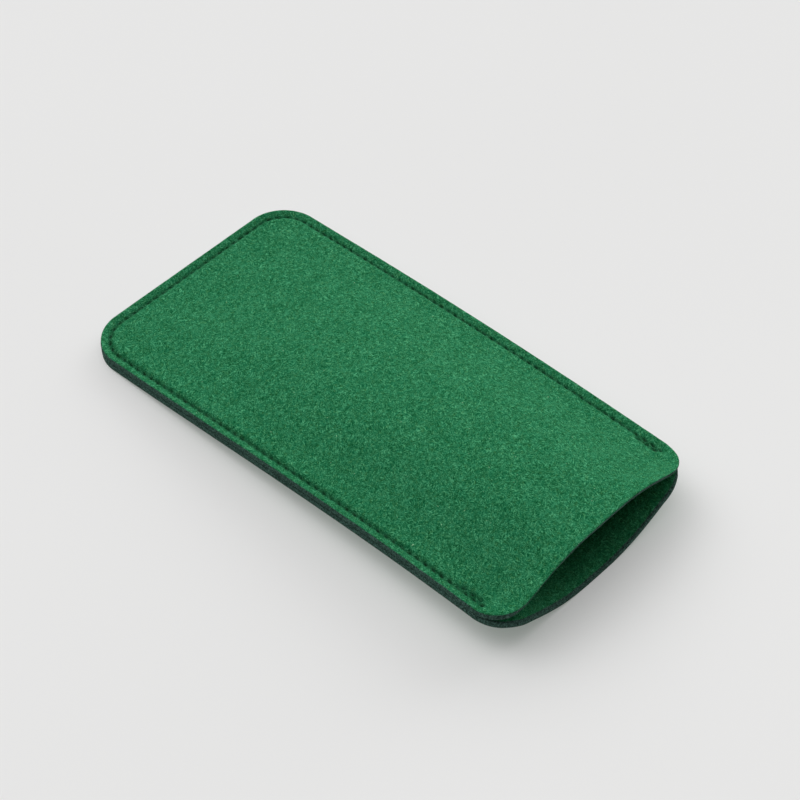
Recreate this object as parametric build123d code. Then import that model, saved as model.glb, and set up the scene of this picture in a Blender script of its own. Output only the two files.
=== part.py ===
"""Eyeglasses sleeve: two felt panels joined by one lockstitch seam, open at one short end.

Millimetres. The length runs along Y with the open mouth at -Y, the width along X and the height
along +Z. The origin is the centre of the footprint, on the table.
"""

from build123d import *
from math import pi, sin
import os

# Felt panels
LENGTH = 170.0            # closed end to mouth
WIDTH = 85.0              # flat width of one panel
FELT = 2.4                # thickness of one panel
CORNER_RADIUS = 13.0      # corners at the closed end
MOUTH_RADIUS = 11.0       # corners at the mouth
PANEL_GAP = 0.1           # between the facing surfaces at the seam, bridged by loose fibres

# Shape of the open pocket
BELLY = 10.0              # depth of the back panel below the rim, at the mouth
CROWN = 9.7               # rise of the front panel above the rim, at the mouth
FRONT_FLARE = (1.9, 3.7)  # rise of the front panel's mouth corners past the seam, at -X and +X
BACK_FLARE = (-1.0, 0.0)  # the same for the back panel, which sags
FULLNESS = 2.7            # exponent of the cross-section: a higher value is flatter in the middle
FLAT_RIM = 4.0            # width of the rim that stays flat along each edge
OPENING_START = 0.05      # share of the length over which the pocket starts to open
TABLE_PRESS = 0.15        # depth by which the belly is pressed flat on the table

# Seam
SEAM_INSET = 2.8          # seam line to the cut edge
SEAM_END = 10.0           # last needle hole to the mouth edge
STITCH = 3.0              # length of one stitch
THREAD = 0.4              # diameter of both threads
NEEDLE_HOLE = 1.32        # diameter of a needle hole, with both legs of a thread side by side
GROOVE_DEPTH = 0.6        # how far the seam is pulled into the felt
GROOVE_WIDTH = 1.7
BACKTACK_STITCHES = 3     # stitches sewn back beside the seam at each end
BACKTACK_OFFSET = 0.95    # distance of the back-tack from the seam line
FIT_GAP = 0.02            # clearance between the two threads where they hook
RUN_GAP = 0.05            # clearance between a stitch and the floor of the groove
GROOVE_OVERRUN = 0.8      # how far the groove runs past the last needle hole

HALF_LENGTH = LENGTH / 2
HALF_WIDTH = WIDTH / 2
SEAM_RADIUS = CORNER_RADIUS - SEAM_INSET
POCKET_END = HALF_LENGTH - FLAT_RIM
GRID_X = 45               # points across each felt surface
GRID_Y = 69               # points along it
GRID_MARGIN = 1.5         # how far the surfaces run past the outline
SURFACE_FIT = 0.002       # largest distance between a felt surface and its points
SIDE_POINTS = 9           # points that shape each long side of the outline and the seam
LEG = THREAD + FIT_GAP    # a thread's leg to the axis of its needle hole
TALL = 80.0               # taller than the sleeve, for cutting prisms


def opening(y):
    """How far the pocket has opened at y: 0 at the closed end and 1 at the mouth."""
    run = min(max((POCKET_END - y) / (POCKET_END + HALF_LENGTH), 0.0), 1.0)
    soft_run = run * run / (run + OPENING_START) * (1.0 + OPENING_START)
    return sin(pi / 2 * soft_run)


def draw_in(y):
    """How far each side moves inwards at y, because felt that arches up doesn't stretch."""
    n = FULLNESS
    slope_share = 4 * n * n * (1 / (2 * n - 1) - 2 / (3 * n - 1) + 1 / (4 * n - 1))
    rise = (BELLY + CROWN) / 2 * opening(y)
    return rise * rise * slope_share / 2 / (HALF_WIDTH - FLAT_RIM)


def half_width(y):
    return HALF_WIDTH - draw_in(y)


def arch(x, y):
    """Shape of the cross-section: 1 on the centre line and 0 over the flat rim."""
    share = min(abs(x) / (half_width(y) - FLAT_RIM), 1.0)
    return (1.0 - share**FULLNESS) ** 2


def rim_bottom(y):
    """Height of the underside of the flat rim."""
    return BELLY * opening(y) - TABLE_PRESS


def flare(x, y, corner_rises):
    """Rise of a panel towards its two mouth corners, which the seam doesn't hold down."""
    run = max((SEAM_END - HALF_LENGTH - y) / SEAM_END, 0.0)
    share = min(abs(x) / half_width(y), 1.0)
    rise = corner_rises[1] if x > 0 else corner_rises[0]
    return rise * run**2 * share**2 * (3 - 2 * share)


def back_lower(x, y):
    """Height of the underside of the back panel."""
    return rim_bottom(y) - BELLY * opening(y) * arch(x, y) + flare(x, y, BACK_FLARE)


def front_lower(x, y):
    """Height of the underside of the front panel."""
    rim = rim_bottom(y) + FELT + PANEL_GAP
    return rim + CROWN * opening(y) * arch(x, y) + flare(x, y, FRONT_FLARE)


def felt_surface(height, lift):
    """A smooth surface over the whole outline, at height(x, y) + lift."""
    reach_x = HALF_WIDTH + GRID_MARGIN
    reach_y = HALF_LENGTH + GRID_MARGIN
    xs = [reach_x * (2 * i / (GRID_X - 1) - 1) for i in range(GRID_X)]
    ys = [reach_y * (2 * j / (GRID_Y - 1) - 1) for j in range(GRID_Y)]
    points = [[Vector(x, y, height(x, y) + lift) for x in xs] for y in ys]
    return Face.make_surface_from_array_of_points(points, tol=SURFACE_FIT)


def side_points(inset, top, bottom):
    """Points down the +X side, at a distance inset from the cut edge."""
    ys = [top + (bottom - top) * i / (SIDE_POINTS - 1) for i in range(SIDE_POINTS)]
    return [(half_width(y) - inset, y) for y in ys]


def mirrored(points):
    return [(-x, y) for x, y in reversed(points)]


def outline_prism():
    """Upright prism over the plan outline of both panels."""
    closed_y = HALF_LENGTH - CORNER_RADIUS
    mouth_y = MOUTH_RADIUS - HALF_LENGTH
    right = side_points(0.0, closed_y, mouth_y)
    left = mirrored(right)
    down = [(0, -1), (0, -1)]
    up = [(0, 1), (0, 1)]
    mouth_x = right[-1][0] - MOUTH_RADIUS
    closed_x = right[0][0] - CORNER_RADIUS
    with BuildSketch() as sketch:
        with BuildLine():
            Line((-closed_x, HALF_LENGTH), (closed_x, HALF_LENGTH))
            RadiusArc((closed_x, HALF_LENGTH), right[0], CORNER_RADIUS)
            Spline(right, tangents=down)
            RadiusArc(right[-1], (mouth_x, -HALF_LENGTH), MOUTH_RADIUS)
            Line((mouth_x, -HALF_LENGTH), (-mouth_x, -HALF_LENGTH))
            RadiusArc((-mouth_x, -HALF_LENGTH), left[0], MOUTH_RADIUS)
            Spline(left, tangents=up)
            RadiusArc(left[-1], (-closed_x, HALF_LENGTH), CORNER_RADIUS)
        make_face()
    return Pos(0, 0, -TALL / 2) * extrude(sketch.sketch, TALL)


def seam_line(end_run=0.0):
    """Plan curve of the seam, from the mouth end on -X, round the closed end, to +X."""
    corner_y = HALF_LENGTH - CORNER_RADIUS
    right = side_points(SEAM_INSET, corner_y, SEAM_END - end_run - HALF_LENGTH)
    left = mirrored(right)
    closed_x = right[0][0] - SEAM_RADIUS
    closed_y = HALF_LENGTH - SEAM_INSET
    with BuildLine() as line:
        Spline(left)
        RadiusArc(left[-1], (-closed_x, closed_y), SEAM_RADIUS)
        Line((-closed_x, closed_y), (closed_x, closed_y))
        RadiusArc((closed_x, closed_y), right[0], SEAM_RADIUS)
        Spline(right)
    return line.wire()


def inward(along):
    """Unit vector from the seam towards the middle of the panel."""
    return Vector(along.Y, -along.X)


def needle_points():
    """Every needle hole in sewing order: (place, sewing direction, inward, needle turn, bobbin turn).

    A turn of -1 swaps the two legs of that thread where the seam doubles back.
    """
    line = seam_line()
    count = round(line.length / STITCH)
    seam = [(line @ (i / count), line % (i / count)) for i in range(count + 1)]
    (first, ahead), (last, onward) = seam[0], seam[-1]
    points = []
    for k in reversed(range(BACKTACK_STITCHES)):
        place = first + ahead * (STITCH * (k + 0.5)) + inward(ahead) * BACKTACK_OFFSET
        points.append((place, -ahead, inward(ahead), 1, 1))
    points.append((first, -ahead, inward(ahead), -1, 1))
    points += [(place, along, inward(along), 1, 1) for place, along in seam[1:-1]]
    points.append((last, -onward, inward(onward), 1, -1))
    for k in range(BACKTACK_STITCHES):
        place = last - onward * (STITCH * (k + 0.5)) + inward(onward) * BACKTACK_OFFSET
        points.append((place, -onward, inward(onward), 1, 1))
    return points


def thread(points, front):
    """One thread of the lockstitch, hooked through the other at every needle hole."""
    up = 1 if front else -1
    corners = []
    for place, along, across, needle_turn, bobbin_turn in points:
        middle = rim_bottom(place.Y) + FELT + PANEL_GAP / 2
        face = middle + up * (FELT + PANEL_GAP / 2)
        run = face - up * (GROOVE_DEPTH - THREAD / 2 - RUN_GAP)
        hook = middle - up * LEG / 2
        turn = needle_turn if front else bobbin_turn
        leg = (along + across * up).normalized() * LEG * turn
        corners += [place - leg + Vector(0, 0, run), place - leg + Vector(0, 0, hook)]
        corners += [place + leg + Vector(0, 0, hook), place + leg + Vector(0, 0, run)]
    path = Polyline(corners)
    section = Plane(path @ 0, z_dir=path % 0) * Circle(THREAD / 2)
    return sweep(section, path=path, transition=Transition.RIGHT)


def groove_prism(points):
    """Upright prism over the line that the seam and its back-tacks pull into the felt."""
    band = trace(seam_line(GROOVE_OVERRUN), GROOVE_WIDTH)
    places = [place for place, *_ in points]
    for row in (places[: BACKTACK_STITCHES + 1], places[-BACKTACK_STITCHES - 1 :]):
        band += [trace(Line(start, end), GROOVE_WIDTH) for start, end in zip(row, row[1:])]
        band += [Pos(place) * Circle(GROOVE_WIDTH / 2) for place in row]
    return Pos(0, 0, -TALL / 2) * extrude(band, TALL)


def needle_holes(points):
    hole = Cylinder(NEEDLE_HOLE / 2, TALL)
    return [Pos(place) * hole for place, *_ in points]


def panel(height, outline, groove, holes, front):
    """One felt panel whose lower face lies at height(x, y), pressed flat by the table."""
    up = 1 if front else -1
    body = extrude(felt_surface(height, 0.0), FELT, dir=(0, 0, 1)) - holes
    body &= outline
    outer_face = FELT if front else 0.0
    groove_floor = felt_surface(height, outer_face - up * GROOVE_DEPTH)
    body -= extrude(groove_floor, TALL / 2, dir=(0, 0, up)) & groove
    return body & Pos(0, 0, TALL / 2) * Box(2 * WIDTH, 2 * LENGTH, TALL)


def build():
    points = needle_points()
    outline = outline_prism()
    groove = groove_prism(points)
    holes = needle_holes(points)
    return {
        "front_panel": panel(front_lower, outline, groove, holes, True),
        "back_panel": panel(back_lower, outline, groove, holes, False),
        "needle_thread": thread(points, True),
        "bobbin_thread": thread(points, False),
    }


os.makedirs("parts", exist_ok=True)
for node, shape in build().items():
    export_step(shape, f"parts/{node}.step")
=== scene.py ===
"""Looks of a felt eyeglasses sleeve: two felt panels and the two threads of its lockstitch seam.

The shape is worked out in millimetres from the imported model's boxes and made in metres.
"""

import math

import bmesh
import bpy
import numpy as np
from mathutils import Euler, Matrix, Vector, geometry, noise
from mathutils.kdtree import KDTree


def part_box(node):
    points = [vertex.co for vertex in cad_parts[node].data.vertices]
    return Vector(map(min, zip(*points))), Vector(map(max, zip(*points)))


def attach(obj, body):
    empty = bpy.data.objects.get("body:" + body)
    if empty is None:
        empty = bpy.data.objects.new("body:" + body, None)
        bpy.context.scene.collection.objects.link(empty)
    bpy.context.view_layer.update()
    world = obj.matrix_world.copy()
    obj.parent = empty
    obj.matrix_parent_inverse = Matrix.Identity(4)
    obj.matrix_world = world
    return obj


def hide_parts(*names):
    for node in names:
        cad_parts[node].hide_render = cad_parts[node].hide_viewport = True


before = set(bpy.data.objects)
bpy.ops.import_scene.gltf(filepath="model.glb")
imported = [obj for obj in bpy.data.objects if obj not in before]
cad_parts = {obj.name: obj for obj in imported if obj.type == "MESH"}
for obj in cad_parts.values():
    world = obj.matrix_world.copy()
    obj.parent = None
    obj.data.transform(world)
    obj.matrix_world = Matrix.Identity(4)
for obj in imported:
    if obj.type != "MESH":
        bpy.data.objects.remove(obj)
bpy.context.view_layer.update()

MM = 0.001

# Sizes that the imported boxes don't give, in millimetres
FELT = 2.4                            # thickness of one panel
PANEL_GAP = 0.1                       # between the facing surfaces at the seam
TABLE_PRESS = 0.15                    # depth by which the belly is pressed flat on the table
FULLNESS = 2.7                        # exponent of the cross-section: higher is flatter in the middle
FRONT_FLARE = (1.9, 3.7)              # rise of the front panel's mouth corners, at -X and +X
BACK_FLARE = (-1.0, 0.0)              # the same for the back panel, which sags
FLAT_RIM = 4.0                        # width of the rim that stays flat along each edge
OPENING_START = 0.05                  # share of the length over which the pocket starts to open
CORNER_RADIUS = 13.0                  # corners at the closed end
MOUTH_RADIUS = 11.0
SEAM_INSET = 2.8                      # seam line to the cut edge
SEAM_END = 10.0                       # last needle hole to the mouth edge
STITCH = 3.0                          # length of one stitch
BACKTACK_STITCHES = 3                 # stitches sewn back beside the seam at each end
BACKTACK_OFFSET = 0.95                # distance of the back-tack from the seam line
LEG = 0.42                            # a thread's leg to the axis of its needle hole

# Points along the plan curves, before they are spaced evenly
SIDE_POINTS = 120
CORNER_POINTS = 60
SEAM_CORNER_POINTS = 40
FINE_STEP = 0.05                      # spacing from which the seam's direction is read

_, front_high = (np.array(c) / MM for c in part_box("front_panel"))
back_low, back_high = (np.array(c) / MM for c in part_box("back_panel"))
HALF_WIDTH = (back_high[0] - back_low[0]) / 2
HALF_LENGTH = (back_high[1] - back_low[1]) / 2
BELLY = back_high[2] - FELT + TABLE_PRESS
CROWN = front_high[2] - back_high[2] - PANEL_GAP - FELT
POCKET_END = HALF_LENGTH - FLAT_RIM


# ---------------------------------------------------------------- shape of the sleeve, in mm

def opening(y):
    """How far the pocket has opened at y: 0 at the closed end and 1 at the mouth."""
    run = np.clip((POCKET_END - y) / (POCKET_END + HALF_LENGTH), 0.0, 1.0)
    soft_run = run * run / (run + OPENING_START) * (1.0 + OPENING_START)
    return np.sin(math.pi / 2 * soft_run)


def half_width(y):
    """Half the sleeve's width at y: the sides draw in where the felt arches up."""
    n = FULLNESS
    slope_share = 4 * n * n * (1 / (2 * n - 1) - 2 / (3 * n - 1) + 1 / (4 * n - 1))
    rise = (BELLY + CROWN) / 2 * opening(y)
    return HALF_WIDTH - rise * rise * slope_share / 2 / (HALF_WIDTH - FLAT_RIM)


def arch(x, y):
    """Shape of the cross-section: 1 on the centre line and 0 over the flat rim."""
    share = np.minimum(np.abs(x) / (half_width(y) - FLAT_RIM), 1.0)
    return (1.0 - share**FULLNESS) ** 2


def rim_bottom(y):
    """Height of the underside of the flat rim."""
    return BELLY * opening(y) - TABLE_PRESS


def flare(x, y, corner_rises):
    """Rise of a panel towards its two mouth corners, which the seam doesn't hold down."""
    run = np.maximum((SEAM_END - HALF_LENGTH - y) / SEAM_END, 0.0)
    share = np.minimum(np.abs(x) / half_width(y), 1.0)
    rise = np.where(x > 0, corner_rises[1], corner_rises[0])
    return rise * run**2 * share**2 * (3 - 2 * share)


def back_lower(x, y):
    """Underside of the back panel, before the table presses it flat."""
    return rim_bottom(y) - BELLY * opening(y) * arch(x, y) + flare(x, y, BACK_FLARE)


def front_lower(x, y):
    """Underside of the front panel."""
    rim = rim_bottom(y) + FELT + PANEL_GAP
    return rim + CROWN * opening(y) * arch(x, y) + flare(x, y, FRONT_FLARE)


def arc(centre, radius, start, end, count):
    angles = np.radians(np.linspace(start, end, count))
    return np.c_[centre[0] + radius * np.cos(angles), centre[1] + radius * np.sin(angles)]


def even_steps(line, step, closed):
    """The polyline's points spaced evenly, and their distances along it."""
    if closed:
        line = np.r_[line, line[:1]]
    along = np.r_[0, np.cumsum(np.hypot(*np.diff(line, axis=0).T))]
    count = round(along[-1] / step)
    at = np.linspace(0, along[-1], count + 1)
    if closed:
        at = at[:-1]
    return np.c_[np.interp(at, along, line[:, 0]), np.interp(at, along, line[:, 1])], at


def side(inset, top, bottom):
    """Points down the +X side, at a distance inset from the cut edge."""
    ys = np.linspace(top, bottom, SIDE_POINTS)
    return np.c_[half_width(ys) - inset, ys]


def flipped(points):
    return points[::-1] * (-1, 1)


def outline(step):
    """Points round the cut edge of a panel, clockwise from the closed end."""
    top = HALF_LENGTH - CORNER_RADIUS
    bottom = MOUTH_RADIUS - HALF_LENGTH
    right = side(0.0, top, bottom)
    corner = arc((right[0, 0] - CORNER_RADIUS, top), CORNER_RADIUS, 90, 0, CORNER_POINTS)
    mouth = arc((right[-1, 0] - MOUTH_RADIUS, bottom), MOUTH_RADIUS, 0, -90, CORNER_POINTS)
    half = np.r_[corner, right[1:-1], mouth]
    return even_steps(np.r_[half, flipped(half)], step, True)[0]


def seam_line(step):
    """Points along the seam, from the mouth end on -X round the closed end to +X."""
    top = HALF_LENGTH - CORNER_RADIUS
    radius = CORNER_RADIUS - SEAM_INSET
    right = side(SEAM_INSET, top, SEAM_END - HALF_LENGTH)
    corner = arc((right[0, 0] - radius, top), radius, 90, 0, SEAM_CORNER_POINTS)
    half = np.r_[corner, right[1:]]
    return even_steps(np.r_[flipped(half), half], step, False)


def needle_points():
    """Needle holes in sewing order: place, sewing direction, inward, needle turn, bobbin turn."""
    line, _ = seam_line(FINE_STEP)
    places, at = seam_line(STITCH)
    count = len(places)
    index = np.round(at / FINE_STEP).astype(int).clip(1, len(line) - 2)
    along = line[index + 1] - line[index - 1]
    along /= np.linalg.norm(along, axis=1)[:, None]
    inward = np.c_[along[:, 1], -along[:, 0]]
    rows = [(places[i], along[i], inward[i], 1, 1) for i in range(1, count - 1)]
    first = (places[0], -along[0], inward[0], -1, 1)
    last = (places[-1], -along[-1], inward[-1], 1, -1)
    head, tail = [], []
    for k in range(BACKTACK_STITCHES):
        reach = STITCH * (k + 0.5)
        start = places[0] + along[0] * reach + inward[0] * BACKTACK_OFFSET
        end = places[-1] - along[-1] * reach + inward[-1] * BACKTACK_OFFSET
        head.insert(0, (start, -along[0], inward[0], 1, 1))
        tail.append((end, -along[-1], inward[-1], 1, 1))
    return head + [first] + rows + [last] + tail


# ---------------------------------------------------------------- felt panels

EDGE_STEP = 0.45                      # spacing of points round the cut edge
OUTER_RINGS = (0.0, 0.15, 0.35, 0.65, 1.0, 1.4, 1.8, 2.15, 2.5, 2.8, 3.1, 3.45, 3.8, 4.2, 4.7, 5.3)
INNER_RINGS = (0.0, 0.15, 0.4, 0.9, 1.6, 2.6, 4.0, 5.6)
OUTER_PITCH = 0.56                    # spacing of points inside the rings
INNER_PITCH = 1.1
GRID_CLEARANCE = 0.6                  # grid to the innermost ring, in pitches
CDT_EPSILON = 1e-6                    # points closer than this count as one
WALL_ROWS = 6                         # rows of points up the cut edge, between the faces
OUTER_RIM_CUT = 0.75                  # how far the outer rim looks like the cut edge, 0 to 1
CUT_INNER_RINGS = 3                   # rings of the inner face that look like the cut edge

# Seam: how the stitches pull the felt in
SEAM_PULL = 0.95                      # depth at the seam line
RIM_POWER = 1.1                       # shape of the slope from the seam out to the cut edge
INNER_SLOPE = 0.85                    # width of the slope from the seam inwards
INNER_POWER = 1.6                     # shape of that slope
GROOVE_WIDTH = 0.6                    # half width of the painted shade along the seam's groove
BACKTACK_MIDDLE = BACKTACK_STITCHES * STITCH / 2
BACKTACK_REACH = 3.5                  # half the length of the row's groove

# Needle holes: a slanting pit under each end of a stitch, sunk into the felt and darkened with painted
# shade
PIT_DEPTH = 0.45
PIT_SEARCH = 2.0                      # distance from the seam within which pits lie
PIT_SLANT = 0.35                      # how far a pit turns from the seam's direction
PIT_LENGTH = 0.85
PIT_WIDTH = 0.42
PIT_PULL = 0.85                       # mean strength of a pit
PIT_VARIETY = 0.5                     # how far the strength changes from pit to pit
PIT_STEP = 0.71                       # step through the noise from one pit to the next
PIT_ROW = 0.3                         # the line through the noise that the pits use

# Soft shape of the faces and of the cut edge
RIM_SWELL = 0.15                      # how far the outer face swells along the cut edge
SWELL_WIDTH = 2.0
ROUNDING_WIDTH = 0.5                  # how far in from the cut edge the faces round off
OUTER_ROUNDING = 0.34
INNER_ROUNDING = 0.22
SWAY = 0.16                           # slow waves of the outer face
SWAY_LENGTH = 21.0
SWAY_FADE = 12.0                      # the waves fade out over this distance from the cut edge
LUMP = 0.04                           # lumps of the outer face
INNER_LUMP = 0.05
LUMP_LENGTH = 5.0
NAP = 0.04                            # fine unevenness of both faces
NAP_LENGTH = 1.7
CUT_BULGE = 0.12                      # how far the middle of the cut edge stands out
CUT_SETBACK = 0.05                    # how far the cut edge as a whole stands back
FUZZ = 0.09                           # fine unevenness of the cut edge
FUZZ_LENGTH = 1.3
CUT_SWAY = 0.1                        # slower unevenness of the cut edge
CUT_SWAY_LENGTH = 6.0
UNDERCUT = 0.75                       # how far the front panel's cut face leans back at the mouth
UNDERCUT_REACH = 4.0                  # distance from the mouth over which the lean fades


def inset_of(x, y, mouth=True):
    """Distance from the cut edge, or from its sides and closed end alone."""
    from_side = half_width(y) - np.abs(x)
    from_end = HALF_LENGTH - y
    radius = np.full_like(from_end, CORNER_RADIUS)
    if mouth:
        nearer = HALF_LENGTH + y < from_end
        from_end = np.where(nearer, HALF_LENGTH + y, from_end)
        radius = np.where(nearer, MOUTH_RADIUS, radius)
    corner = radius - np.hypot(np.maximum(radius - from_side, 0), np.maximum(radius - from_end, 0))
    in_corner = (from_side < radius) & (from_end < radius)
    return np.where(in_corner, corner, np.minimum(from_side, from_end))


def wander(points, wavelength, seed):
    """Smooth random values, about -1 to 1, that change over one wavelength."""
    shift = Vector((seed * 17.3, seed * 5.1, seed * 11.7))
    return np.array([noise.noise(Vector(p) / wavelength + shift) for p in points])


def seam_marks(x, y, holes):
    """How close each point is to the seam's groove and to a needle hole, from 0 to 1."""
    past_seam = np.maximum(SEAM_END - HALF_LENGTH - y, 0)
    off_line = np.hypot(inset_of(x, y, mouth=False) - SEAM_INSET, past_seam)
    past_row = np.maximum(np.abs(y - SEAM_END + HALF_LENGTH - BACKTACK_MIDDLE) - BACKTACK_REACH, 0)
    second_row = np.hypot(inset_of(x, y, mouth=False) - SEAM_INSET - BACKTACK_OFFSET, past_row)
    off_line = np.minimum(off_line, second_row)
    tree = KDTree(len(holes))
    for i, hole in enumerate(holes):
        tree.insert((*hole[0], 0), i)
    tree.balance()
    pit = np.zeros(len(x))
    for i in np.flatnonzero(off_line < PIT_SEARCH):
        _, k, _ = tree.find((x[i], y[i], 0))
        place, along, inward = holes[k][:3]
        offset = np.array((x[i], y[i])) - place
        a = offset @ (along + PIT_SLANT * inward)
        b = offset @ (inward - PIT_SLANT * along)
        pull = PIT_PULL + PIT_VARIETY * noise.noise(Vector((k * PIT_STEP, PIT_ROW, 0.0)))
        pit[i] = pull * math.exp(-(a / PIT_LENGTH) ** 2 - (b / PIT_WIDTH) ** 2)
    return off_line, pit


def triangulated(ring, guard, pitch):
    """Points and triangles that fill the ring with an even, staggered grid.

    The guard points lie just outside the ring, which keeps the ring's own edges off the hull:
    without them, straight and concave stretches of the ring are bridged by long triangles.
    """
    row_step = pitch * math.sqrt(0.75)
    rows = np.arange(-HALF_LENGTH, HALF_LENGTH, row_step)
    columns = np.arange(-HALF_WIDTH, HALF_WIDTH, pitch)
    grid_x, grid_y = np.meshgrid(columns, rows)
    grid_x[1::2] += pitch / 2
    grid = np.c_[grid_x.ravel(), grid_y.ravel()]
    depth = inset_of(ring[:1, 0], ring[:1, 1])[0]
    grid = grid[inset_of(grid[:, 0], grid[:, 1]) > depth + pitch * GRID_CLEARANCE]
    points = [Vector(p) for p in np.r_[ring, grid, guard]]
    border = [(i, (i + 1) % len(ring)) for i in range(len(ring))]
    _, _, faces, *_ = geometry.delaunay_2d_cdt(points, border, [], 0, CDT_EPSILON, False)
    inside = len(ring) + len(grid)
    return grid, [face for face in faces if max(face) < inside]


def face_layout(cut_edge, insets, pitch):
    """Plan points of one face of a panel, from the cut edge inwards, and its polygons."""
    ahead = np.roll(cut_edge, -1, axis=0) - np.roll(cut_edge, 1, axis=0)
    ahead /= np.linalg.norm(ahead, axis=1)[:, None]
    inward = np.c_[ahead[:, 1], -ahead[:, 0]]
    rings = [cut_edge + inward * inset for inset in insets]
    grid, inner_faces = triangulated(rings[-1], rings[-2], pitch)
    count = len(cut_edge)
    faces = []
    for k in range(len(insets) - 1):
        here, inside = k * count, (k + 1) * count
        for i in range(count):
            j = (i + 1) % count
            faces.append((here + i, here + j, inside + j, inside + i))
    start = (len(insets) - 1) * count
    faces += [tuple(start + v for v in face) for face in inner_faces]
    return np.r_[np.concatenate(rings), grid], faces


def outer_relief(points, height, seed, holes):
    """How far the outer face of a panel stands from its smooth shape, and its seam marks: the mask of
    painted shade along the groove, and the needle pits, which sink the face and get painted shade too.
    """
    x, y = points.T
    off_line, pit = seam_marks(x, y, holes)
    inset = inset_of(x, y)
    solid = np.c_[x, y, height]
    outside = inset_of(x, y, mouth=False) < SEAM_INSET
    rim_slope = np.maximum(1 - off_line / SEAM_INSET, 0) ** RIM_POWER
    inner_slope = np.exp(-(off_line / INNER_SLOPE) ** INNER_POWER)
    relief = -SEAM_PULL * np.where(outside, rim_slope, inner_slope)
    relief -= PIT_DEPTH * pit
    relief += RIM_SWELL * np.exp(-(inset / SWELL_WIDTH) ** 2)
    relief -= OUTER_ROUNDING * (1 - np.minimum(inset / ROUNDING_WIDTH, 1)) ** 2
    relief += SWAY * wander(solid, SWAY_LENGTH, seed) * np.minimum(inset / SWAY_FADE, 1)
    relief += LUMP * wander(solid, LUMP_LENGTH, seed + 1)
    relief += NAP * wander(solid, NAP_LENGTH, seed + 2)
    return relief, np.exp(-(off_line / GROOVE_WIDTH) ** 2), pit


def undercut(plan):
    """Plan points of an inner face, drawn back from the mouth so that the cut face leans."""
    near = np.maximum(1 - (HALF_LENGTH + plan[:, 1]) / UNDERCUT_REACH, 0)
    return plan + np.c_[np.zeros(len(plan)), UNDERCUT * near**2]


def inner_relief(points, height, seed):
    """How far the inner face of a panel stands from its smooth shape."""
    inset = inset_of(*points.T)
    solid = np.c_[points, height]
    relief = -INNER_ROUNDING * (1 - np.minimum(inset / ROUNDING_WIDTH, 1)) ** 2
    lumps = INNER_LUMP * wander(solid, LUMP_LENGTH, seed + 3)
    relief += lumps + NAP * wander(solid, NAP_LENGTH, seed + 4)
    return np.minimum(relief, PANEL_GAP / 3)


def cut_face(cut_edge, outer_rim, inner_rim, seed):
    """Points of the cut edge, in rows from the outer to the inner face: bulging and fuzzy."""
    ahead = np.roll(cut_edge, -1, axis=0) - np.roll(cut_edge, 1, axis=0)
    outward = np.c_[-ahead[:, 1], ahead[:, 0]] / np.linalg.norm(ahead, axis=1)[:, None]
    rows = []
    for k in range(1, WALL_ROWS + 1):
        share = k / (WALL_ROWS + 1)
        row = outer_rim * (1 - share) + inner_rim * share
        place = np.c_[cut_edge, row[:, 2]]
        fuzz = FUZZ * wander(place, FUZZ_LENGTH, seed + 5)
        fuzz += CUT_SWAY * wander(place, CUT_SWAY_LENGTH, seed + 6)
        push = CUT_BULGE * math.sin(math.pi * share) + fuzz - CUT_SETBACK
        row[:, :2] += outward * push[:, None]
        rows.append(row)
    return np.concatenate(rows)


def mesh_object(name, points, faces, attributes):
    """A closed smooth mesh from points in millimetres, with one number per point per attribute."""
    mesh = bpy.data.meshes.new(name)
    mesh.from_pydata((points * MM).tolist(), [], faces)
    mesh.polygons.foreach_set("use_smooth", np.ones(len(mesh.polygons), bool))
    for key, values in attributes.items():
        layer = mesh.attributes.new(key, "FLOAT", "POINT")
        layer.data.foreach_set("value", np.asarray(values, np.float32))
    tidy = bmesh.new()
    tidy.from_mesh(mesh)
    bmesh.ops.recalc_face_normals(tidy, faces=tidy.faces)
    tidy.to_mesh(mesh)
    tidy.free()
    obj = bpy.data.objects.new(name, mesh)
    bpy.context.scene.collection.objects.link(obj)
    return obj


def felt_panel(name, lower, front, seed, holes):
    """A felt panel as one closed mesh: soft outer face, inner face and fuzzy cut edge."""
    cut_edge = outline(EDGE_STEP)
    count = len(cut_edge)
    outer_plan, outer_faces = face_layout(cut_edge, OUTER_RINGS, OUTER_PITCH)
    inner_plan, inner_faces = face_layout(cut_edge, INNER_RINGS, INNER_PITCH)
    up = 1 if front else -1
    outer_z = lower(*outer_plan.T) + (FELT if front else 0.0)
    inner_z = lower(*inner_plan.T) + (0.0 if front else FELT)
    relief, groove, pit = outer_relief(outer_plan, outer_z, seed, holes)
    if front:
        inner_plan = undercut(inner_plan)
    outer_z = outer_z + up * relief
    inner_z = inner_z - up * inner_relief(inner_plan, inner_z, seed)
    if not front:
        outer_z = np.maximum(outer_z, 0.0)

    outer = np.c_[outer_plan, outer_z]
    inner = np.c_[inner_plan, inner_z]
    points = np.r_[outer, cut_face(cut_edge, outer[:count], inner[:count], seed), inner]
    wall_start = len(outer)
    inner_start = wall_start + count * WALL_ROWS
    starts = [0] + [wall_start + count * k for k in range(WALL_ROWS)] + [inner_start]
    faces = outer_faces + [tuple(inner_start + v for v in face) for face in inner_faces]
    for a, b in zip(starts, starts[1:]):
        for i in range(count):
            j = (i + 1) % count
            faces.append((a + i, a + j, b + j, b + i))
    cut = np.zeros(len(points))
    cut[wall_start:inner_start] = 1
    cut[:count] = OUTER_RIM_CUT
    cut[inner_start:inner_start + CUT_INNER_RINGS * count] = 1
    padding = np.zeros(len(points) - len(outer))
    obj = mesh_object(name, points, faces, {
        "cut": cut, "groove": np.r_[groove, padding], "pit": np.r_[pit, padding]})
    obj.data.materials.append(bpy.data.materials["wool_felt"])
    return obj


# ---------------------------------------------------------------- threads

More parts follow.
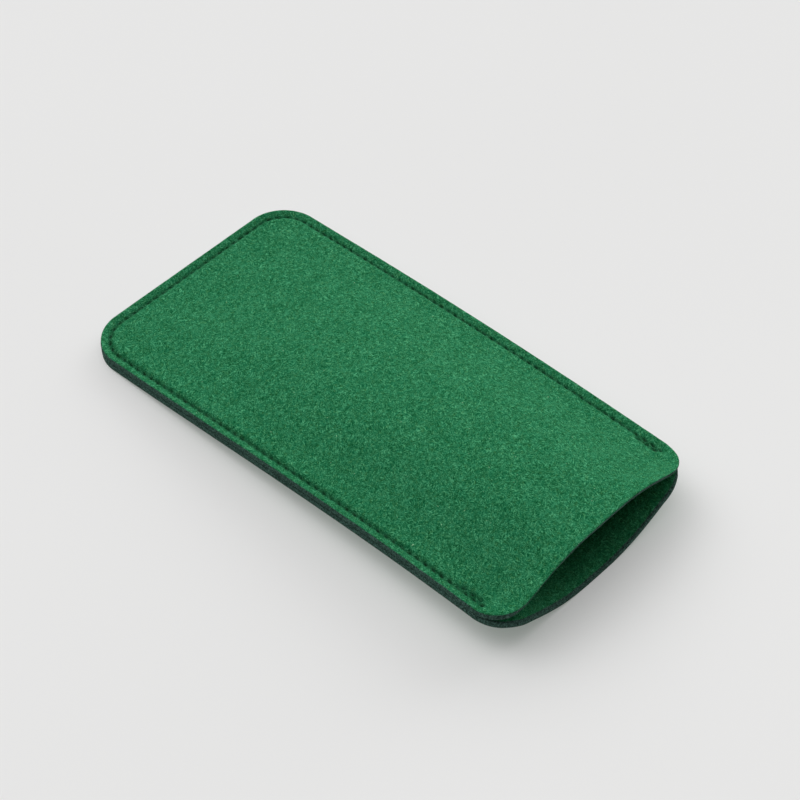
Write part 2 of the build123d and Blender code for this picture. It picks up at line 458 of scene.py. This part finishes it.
STRANDS = 3
STRAND_RADIUS = 0.09                  # the strands lie side by side
STRAND_OFFSET = 0.11                  # strand centre to thread centre
STRAND_SIDES = 6                      # sides of a strand's cross-section
LAY = 1.9                             # length over which the strands turn once
SINK = 1.15                           # a stitch's knots below the smooth face of the felt
DIP = 0.3                             # how far a leg starts below its stitch
HOOK_RISE = 0.2                       # height over which a leg turns round the other thread
CURVE_STEPS = 4                       # points per knot of the centre line
STITCH_SHAPE = ((0.28, 0.26), (0.5, 0.3), (0.72, 0.26))   # share of a stitch, and its rise there
START_ACROSS = (0.3, 0.2, 0.9)        # any direction that the thread's start doesn't run in


def thread_line(holes, front):
    """Centre line of one thread: across the felt, down a hole, round the other thread, up."""
    up = 1 if front else -1
    knots = []
    for place, along, inward, needle_turn, bobbin_turn in holes:
        middle = rim_bottom(place[1]) + FELT + PANEL_GAP / 2
        run = middle + up * (FELT + PANEL_GAP / 2 - SINK)
        hook = middle - up * LEG / 2
        leg = (along + up * inward) / math.sqrt(2) * LEG * (needle_turn if front else bobbin_turn)
        heights = (run - up * DIP, middle + up, hook + up * HOOK_RISE)
        knots += [(*(place - leg), height) for height in heights]
        knots += [(*(place + leg), height) for height in reversed(heights)]
        knots.append(None)
    line = []
    for k, knot in enumerate(knots[:-1]):
        if knot is None:
            before, after = np.array(knots[k - 1]), np.array(knots[k + 1])
            for share, rise in STITCH_SHAPE:
                point = before * (1 - share) + after * share
                point[2] += up * rise
                line.append(point)
        else:
            line.append(np.array(knot))
    return smooth_line(np.array(line), CURVE_STEPS)


def smooth_line(points, steps):
    """Catmull-Rom curve through the points."""
    padded = np.r_[2 * points[:1] - points[1:2], points, 2 * points[-1:] - points[-2:-1]]
    a, b, c, d = padded[:-3], padded[1:-2], padded[2:-1], padded[3:]
    rows = []
    for k in range(steps):
        t = k / steps
        rows.append(0.5 * (2 * b + (c - a) * t + (2 * a - 5 * b + 4 * c - d) * t * t
                           + (3 * b - a - 3 * c + d) * t**3))
    return np.r_[np.stack(rows, 1).reshape(-1, 3), points[-1:]]


def carried_frames(line):
    """Two unit vectors across the line at each point, carried along it without twist."""
    ahead = np.gradient(line, axis=0)
    ahead /= np.linalg.norm(ahead, axis=1)[:, None]
    across = np.cross(ahead[0], START_ACROSS)
    rows = []
    for direction in ahead:
        across = across - direction * (across @ direction)
        across /= np.linalg.norm(across)
        rows.append(across)
    first = np.array(rows)
    return first, np.cross(ahead, first)


def tube(line, first, second, radius, sides, start):
    """Points and faces of a closed tube, numbered from start."""
    angles = (np.arange(sides) * 2 * math.pi / sides)[None, :, None]
    ring = np.cos(angles) * first[:, None] + np.sin(angles) * second[:, None]
    points = (line[:, None] + ring * radius).reshape(-1, 3)
    faces = []
    for k in range(len(line) - 1):
        here = start + k * sides
        for i in range(sides):
            j = (i + 1) % sides
            faces.append((here + i, here + j, here + sides + j, here + sides + i))
    last = start + (len(line) - 1) * sides
    faces.append(tuple(range(start + sides - 1, start - 1, -1)))
    faces.append(tuple(range(last, last + sides)))
    return points, faces


def stitch_thread(name, holes, front):
    """One thread of the seam as a mesh of twisted strands."""
    line = thread_line(holes, front)
    first, second = carried_frames(line)
    along = np.r_[0, np.cumsum(np.linalg.norm(np.diff(line, axis=0), axis=1))]
    points, faces, strand_of = [], [], []
    for strand in range(STRANDS):
        turn = along / LAY * 2 * math.pi + strand * 2 * math.pi / STRANDS
        side_way = first * np.cos(turn)[:, None] + second * np.sin(turn)[:, None]
        start = sum(len(p) for p in points)
        strand_points, strand_faces = tube(line + side_way * STRAND_OFFSET, first, second,
                                           STRAND_RADIUS, STRAND_SIDES, start)
        points.append(strand_points)
        faces += strand_faces
        strand_of += [strand] * len(strand_points)
    obj = mesh_object(name, np.concatenate(points), faces, {"strand": strand_of})
    obj.data.materials.append(bpy.data.materials["sewing_thread"])
    return obj


# ---------------------------------------------------------------- materials

def srgb(red, green, blue):
    """Linear colour of an 8-bit screen colour."""
    parts = [c / 255 for c in (red, green, blue)]
    return (*[c / 12.92 if c < 0.04045 else ((c + 0.055) / 1.055) ** 2.4 for c in parts], 1.0)


class Nodes:
    """Short calls that add shader nodes to one material."""

    def __init__(self, name):
        self.material = bpy.data.materials.new(name)
        self.material.use_nodes = True
        self.tree = self.material.node_tree
        self.shader = self.tree.nodes["Principled BSDF"]

    def add(self, kind, output=0, settings=(), **inputs):
        node = self.tree.nodes.new("ShaderNode" + kind)
        for key, value in settings:
            setattr(node, key, value)
        for key, value in inputs.items():
            self.feed(node.inputs[int(key[1:]) if key[1:].isdigit() else key.replace("_", " ")], value)
        return node.outputs[output]

    def feed(self, socket, value):
        if isinstance(value, bpy.types.NodeSocket):
            self.tree.links.new(value, socket)
        else:
            socket.default_value = value

    def math(self, operation, a, b=0.0):
        return self.add("Math", settings=[("operation", operation)], i0=a, i1=b)

    def band(self, value, low, high, to_low=0.0, to_high=1.0):
        return self.add("MapRange", settings=[("interpolation_type", "SMOOTHSTEP")], Value=value,
                        From_Min=low, From_Max=high, To_Min=to_low, To_Max=to_high)

    def mix(self, share, a, b, blend="MIX"):
        settings = [("data_type", "RGBA"), ("blend_type", blend), ("clamp_result", True)]
        return self.add("Mix", 2, settings, i0=share, i6=a, i7=b)

    def millimetres(self):
        place = self.add("TexCoord", 3)
        return self.add("VectorMath", settings=[("operation", "SCALE")], i0=place, Scale=1 / MM)

    def noise(self, vector, wavelength, detail=2.0, roughness=0.5, distortion=0.0):
        return self.add("TexNoise", Vector=vector, Scale=1 / wavelength, Detail=detail,
                        Roughness=roughness, Distortion=distortion)

    def stretched(self, vector, angle, across, along):
        turned = self.add("VectorRotate", settings=[("rotation_type", "Z_AXIS")], Vector=vector,
                          Angle=math.radians(angle))
        return self.add("VectorMath", settings=[("operation", "MULTIPLY")], i0=turned,
                        i1=(1 / across, 1 / along, 1 / across))

    def attribute(self, name):
        return self.add("Attribute", 2, [("attribute_name", name)])

    def set(self, **inputs):
        for key, value in inputs.items():
            self.feed(self.shader.inputs[key.replace("_", " ")], value)


# Colours of the felt, as 8-bit screen colours
FACE_DARK = (34, 103, 64)
FACE_LIGHT = (36, 113, 75)
FACE_OLIVE = (62, 118, 66)
FIBRE = (66, 148, 102)
SPECK = (150, 190, 150)
CUT_DARK = (28, 50, 44)
CUT_LIGHT = (76, 106, 96)
SHEEN = (70, 170, 115)

# Sizes of the felt's texture, in millimetres
BLOTCH_SIZE = 9.0
CLUMP_SIZE = 1.3
GRAIN_SIZE = 0.38
GAP_SIZE = 0.55
OLIVE_SIZE = 0.8
SPECK_SIZE = 0.6
CUT_GRAIN_SIZE = 0.5
FIBRE_WIDTH = 0.24
FIBRE_LENGTH = 2.1
FIBRE_ANGLES = (-52, -20, 12, 40, 75)   # directions in which the loose fibres lie, in degrees
CURL = 3.2                              # how far the texture wanders from a straight line
CURL_SCALE = 0.22                       # wanders per millimetre

# How much each part of the texture lightens or darkens the felt
BLOTCH_LIGHT = 0.04
CLUMP_LIGHT = 0.09
GRAIN_DARK = 0.4
GRAIN_LIGHT = 0.36
FIBRE_LIGHT = 0.62
GAP_DARK = 0.36
# painted shade: how far the colour darkens along the seam's groove
GROOVE_PAINTED_SHADE = 0.42
# painted shade: how far the colour darkens in the needle pits
PIT_PAINTED_SHADE = 0.8
MEAN_LIGHT = 1.14                       # the felt's mean brightness, fibres and gaps included
FIBRE_HAZE = 0.03                       # neutral light that raised fibres scatter, and gaps lack
RAGGED = 0.35                           # how ragged the border of the cut edge's colour is


def felt_material():
    nodes = Nodes("wool_felt")
    place = nodes.millimetres()
    drift = nodes.add("TexNoise", 1, Vector=place, Scale=CURL_SCALE, Detail=1.0)
    drift = nodes.add("VectorMath", settings=[("operation", "SCALE")], i0=drift, Scale=CURL)
    curled = nodes.add("VectorMath", settings=[("operation", "ADD")], i0=place, i1=drift)

    blotch = nodes.noise(place, BLOTCH_SIZE, 3.0, 0.55)
    clump = nodes.noise(place, CLUMP_SIZE, 3.0, 0.6)
    grain = nodes.noise(curled, GRAIN_SIZE, 2.0, 0.6)
    fibres = 0.0
    for angle in FIBRE_ANGLES:
        lane = nodes.stretched(curled, angle, FIBRE_WIDTH, FIBRE_LENGTH)
        streak = nodes.noise(lane, 1.0, 1.0, 0.5)
        fibres = nodes.math("MAXIMUM", fibres, nodes.band(streak, 0.6, 0.74))
    gaps = nodes.band(nodes.noise(curled, GAP_SIZE, 1.0), 0.38, 0.24)
    specks = nodes.band(nodes.noise(place, SPECK_SIZE, 0.0), 0.86, 0.9, 0.0, 0.7)

    light = nodes.math("ADD", nodes.band(blotch, 0.3, 0.7, -BLOTCH_LIGHT, BLOTCH_LIGHT), 1.0)
    light = nodes.math("ADD", light, nodes.band(clump, 0.25, 0.75, -CLUMP_LIGHT, CLUMP_LIGHT))
    light = nodes.math("ADD", light, nodes.band(grain, 0.28, 0.72, -GRAIN_DARK, GRAIN_LIGHT))
    light = nodes.math("ADD", light, nodes.math("MULTIPLY", fibres, FIBRE_LIGHT))
    light = nodes.math("SUBTRACT", light, nodes.math("MULTIPLY", gaps, GAP_DARK))
    haze = nodes.math("MULTIPLY", nodes.math("SUBTRACT", light, MEAN_LIGHT), FIBRE_HAZE)
    # painted shade: the colour darkens along the seam's groove and in the needle pits
    for mark, darkness in (("groove", GROOVE_PAINTED_SHADE), ("pit", PIT_PAINTED_SHADE)):
        shade = nodes.math("MULTIPLY", nodes.attribute(mark), darkness)
        light = nodes.math("MULTIPLY", light, nodes.math("SUBTRACT", 1.0, shade))

    face = nodes.mix(nodes.band(clump, 0.35, 0.65), srgb(*FACE_DARK), srgb(*FACE_LIGHT))
    olive = nodes.band(nodes.noise(curled, OLIVE_SIZE, 1.0), 0.58, 0.72, 0.0, 0.4)
    face = nodes.mix(olive, face, srgb(*FACE_OLIVE))
    face = nodes.mix(nodes.math("MULTIPLY", fibres, 0.45), face, srgb(*FIBRE))
    face = nodes.mix(specks, face, srgb(*SPECK))
    haze_colour = nodes.add("CombineColor", Red=haze, Green=haze, Blue=haze)
    face = nodes.mix(1.0, face, haze_colour, "ADD")
    cut_noise = nodes.noise(place, CUT_GRAIN_SIZE, 3.0, 0.65)
    cut_face = nodes.mix(nodes.band(cut_noise, 0.35, 0.68), srgb(*CUT_DARK), srgb(*CUT_LIGHT))
    cut = nodes.attribute("cut")
    ragged = nodes.math("ADD", cut, nodes.band(cut_noise, 0.2, 0.8, -RAGGED, RAGGED))
    is_cut = nodes.band(ragged, 0.3, 0.75)
    colour = nodes.mix(is_cut, face, cut_face)
    grey = nodes.add("CombineColor", Red=light, Green=light, Blue=light)
    colour = nodes.mix(1.0, colour, grey, "MULTIPLY")

    raised = nodes.math("MULTIPLY", fibres, 0.45)
    height = nodes.math("ADD", nodes.math("MULTIPLY", clump, 0.2), raised)
    height = nodes.math("ADD", height, nodes.math("MULTIPLY", grain, 0.6))
    bump = nodes.add("Bump", Strength=0.5, Distance=0.00025, Height=height)
    nodes.set(Base_Color=colour, Roughness=0.95, Normal=bump, Sheen_Weight=0.04,
              Sheen_Roughness=0.5, Sheen_Tint=srgb(*SHEEN), Specular_IOR_Level=0.06)


THREAD_DARK = (10, 44, 27)
THREAD_LIGHT = (16, 60, 38)
THREAD_HAIR = (40, 100, 66)


def thread_material():
    nodes = Nodes("sewing_thread")
    place = nodes.millimetres()
    mottle = nodes.noise(place, 0.8, 2.0)
    hairs = nodes.noise(nodes.stretched(place, 20, 0.08, 0.6), 1.0, 2.0)
    base = nodes.mix(nodes.band(mottle, 0.3, 0.7), srgb(*THREAD_DARK), srgb(*THREAD_LIGHT))
    colour = nodes.mix(nodes.band(hairs, 0.55, 0.75, 0.0, 0.25), base, srgb(*THREAD_HAIR))
    bump = nodes.add("Bump", Strength=0.3, Distance=0.0001, Height=hairs)
    nodes.set(Base_Color=colour, Roughness=0.75, Normal=bump, Sheen_Weight=0.05,
              Specular_IOR_Level=0.1)


FLOOR_DARK = (0.62, 0.62, 0.618, 1.0)
FLOOR_LIGHT = (0.63, 0.63, 0.628, 1.0)
FLOOR_TONE_SIZE = 260.0
GLOW_COLOUR = (1.0, 0.995, 0.985, 1.0)
FLOOR_GLOW = 0.21                       # painted glow: the floor emits light, which lifts its shadows as a bright room would


def floor_material():
    nodes = Nodes("studio_floor")
    place = nodes.millimetres()
    tone = nodes.noise(place, FLOOR_TONE_SIZE, 2.0)
    colour = nodes.mix(nodes.band(tone, 0.3, 0.7), FLOOR_DARK, FLOOR_LIGHT)
    nodes.set(Base_Color=colour, Roughness=0.8, Specular_IOR_Level=0.1)
    # painted glow: the floor gives off light of its own
    nodes.set(Emission_Color=GLOW_COLOUR, Emission_Strength=FLOOR_GLOW)


# ---------------------------------------------------------------- pieces

felt_material()
thread_material()
floor_material()
holes = needle_points()
pieces = (
    (felt_panel("front_felt", front_lower, True, 1, holes), "front_panel", "felt"),
    (felt_panel("back_felt", back_lower, False, 31, holes), "back_panel", "felt"),
    (stitch_thread("needle_stitches", holes, True), "needle_thread", "thread"),
    (stitch_thread("bobbin_stitches", holes, False), "bobbin_thread", "thread"),
)
for piece, cad_node, finish in pieces:
    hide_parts(cad_node)
    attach(piece, "root")


# ---------------------------------------------------------------- stage, light and camera

CAMERA_AZIMUTH = -46.24               # degrees; 0 looks along +Y
CAMERA_ELEVATION = 48.72
CAMERA_ROLL = -0.04
CAMERA_DISTANCE = 716.5 * MM
CAMERA_TARGET = Vector((9.14, 0.98, 0.0)) * MM
CAMERA_LENS = 107.5                   # millimetres
CAMERA_SENSOR = 36.0                  # millimetres
CAMERA_NEAR = 0.01                    # metres; nothing closer is drawn
FLOOR_REACH = 3.0                     # metres from the sleeve to each side of the floor
SOFTBOXES = (                         # azimuth from +X, elevation and share of the light
    (0, 16, 0.54), (45, 30, 0.24), (100, 52, 0.36), (130, 60, 0.16), (210, 60, 0.08), (0, 90, 0.22))
SOFTBOX_FOCUS = 14                    # a higher value makes the soft boxes smaller
BACKDROP = 0.77                       # brightness of the plain backdrop


def direction(azimuth, elevation):
    """Unit vector at an azimuth from +X and an elevation, in degrees."""
    turn, tilt = math.radians(azimuth), math.radians(elevation)
    return Vector((math.cos(turn) * math.cos(tilt), math.sin(turn) * math.cos(tilt), math.sin(tilt)))


def add_floor():
    corners = [(x * FLOOR_REACH, y * FLOOR_REACH, 0) for x, y in ((-1, -1), (1, -1), (1, 1), (-1, 1))]
    mesh = bpy.data.meshes.new("floor")
    mesh.from_pydata(corners, [], [(0, 1, 2, 3)])
    floor = bpy.data.objects.new("floor", mesh)
    mesh.materials.append(bpy.data.materials["studio_floor"])
    bpy.context.scene.collection.objects.link(floor)


def add_world():
    """Soft boxes as bright lobes of the surroundings, and a plain backdrop for the camera."""
    world = bpy.data.worlds.new("studio")
    world.use_nodes = True
    tree = world.node_tree
    new, link = tree.nodes.new, tree.links.new
    looking = new("ShaderNodeNewGeometry").outputs["Incoming"]
    light = None
    for azimuth, elevation, share in SOFTBOXES:
        lobe = new("ShaderNodeVectorMath")
        lobe.operation = "DOT_PRODUCT"
        lobe.inputs[1].default_value = -direction(azimuth, elevation)
        link(looking, lobe.inputs[0])
        value = lobe.outputs["Value"]
        for operation, number in (("MAXIMUM", 0.0), ("POWER", SOFTBOX_FOCUS),
                                  ("MULTIPLY", share * (SOFTBOX_FOCUS + 1) / 2)):
            step = new("ShaderNodeMath")
            step.operation = operation
            link(value, step.inputs[0])
            step.inputs[1].default_value = number
            value = step.outputs[0]
        if light is not None:
            total = new("ShaderNodeMath")
            link(light, total.inputs[0])
            link(value, total.inputs[1])
            value = total.outputs[0]
        light = value
    plain = new("ShaderNodeMix")
    link(new("ShaderNodeLightPath").outputs["Is Camera Ray"], plain.inputs[0])
    link(light, plain.inputs[2])
    plain.inputs[3].default_value = BACKDROP
    link(plain.outputs[0], tree.nodes["Background"].inputs["Strength"])
    tree.nodes["Background"].inputs["Color"].default_value = (1.0, 1.0, 1.0, 1.0)
    bpy.context.scene.world = world


def add_camera():
    back = direction(CAMERA_AZIMUTH - 90, CAMERA_ELEVATION)
    data = bpy.data.cameras.new("camera")
    data.lens = CAMERA_LENS
    data.sensor_width = CAMERA_SENSOR
    data.clip_start = CAMERA_NEAR
    camera = bpy.data.objects.new("camera", data)
    camera.location = CAMERA_TARGET + back * CAMERA_DISTANCE
    roll = Euler((0, 0, math.radians(CAMERA_ROLL))).to_quaternion()
    camera.rotation_euler = (back.to_track_quat("Z", "Y") @ roll).to_euler()
    bpy.context.scene.collection.objects.link(camera)
    bpy.context.scene.camera = camera


add_floor()
add_world()
add_camera()
bpy.context.scene.view_settings.view_transform = "Standard"
